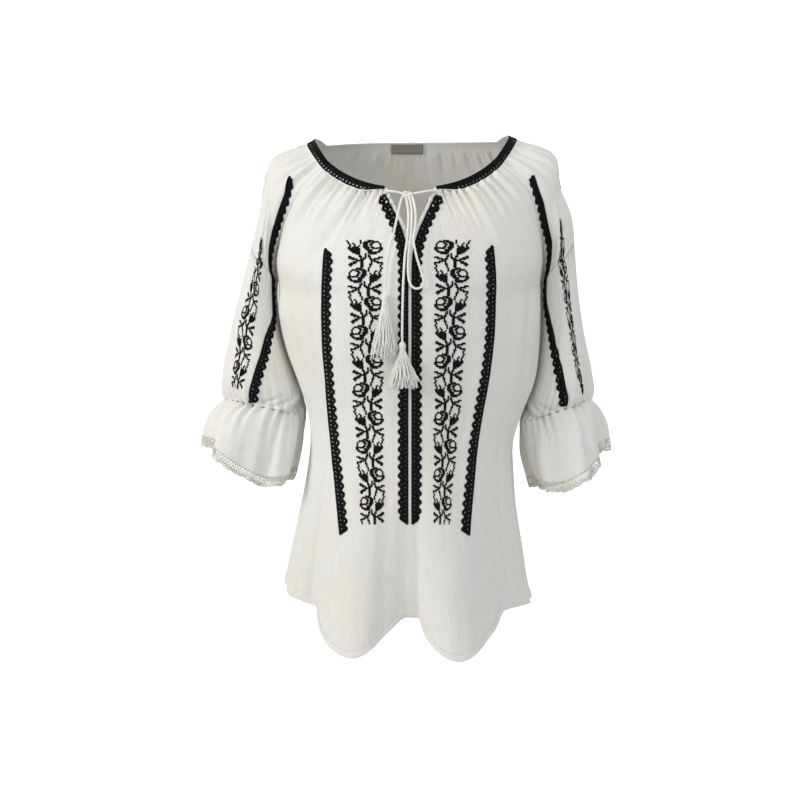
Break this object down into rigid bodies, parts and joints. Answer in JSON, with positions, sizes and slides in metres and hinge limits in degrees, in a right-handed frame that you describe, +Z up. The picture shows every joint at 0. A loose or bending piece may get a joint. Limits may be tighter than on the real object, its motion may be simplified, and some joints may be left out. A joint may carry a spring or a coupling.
{
  "type": "blouse",
  "caption": "hollow peasant blouse with a gathered scoop neck, slit and tie, raglan sleeves, ruffle cuffs and lace trims",
  "frame": {"origin": "the middle of the neck opening at shoulder height, where the wearer holds the blouse up", "axes": "+X to the viewer's right seen from the front, the front faces -Y, +Z up"},
  "size_m": [0.534, 0.2509, 0.6623],
  "materials": {
    "cloth": "crinkled white cotton gauze",
    "white_lace": "white cotton lace",
    "black_lace": "black crochet lace",
    "cord": "twisted white cotton cord and tassel yarn",
    "label": "woven taupe ribbon"
  },
  "bodies": {
    "root": {"front_panel": "cloth", "back_panel": "cloth", "sleeve_left": "cloth", "sleeve_right": "cloth", "ruffle_left": "cloth", "ruffle_right": "cloth", "slit_binding_left": "cloth", "slit_binding_right": "cloth", "cuff_lace_left": "white_lace", "cuff_lace_right": "white_lace", "neck_trim": "black_lace", "trim_front_left": "black_lace", "trim_front_right": "black_lace", "trim_centre_left": "black_lace", "trim_centre_right": "black_lace", "trim_sleeve_left": "black_lace", "trim_sleeve_right": "black_lace", "neck_label": "label", "tie_bridge_left": "cord", "tie_bridge_right": "cord", "tie_tail_left": "cord", "tie_tail_centre": "cord", "tie_loop": "cord", "tie_knot": "cord", "tassel_left": "cord", "tassel_centre": "cord"}
  },
  "joints": []
}
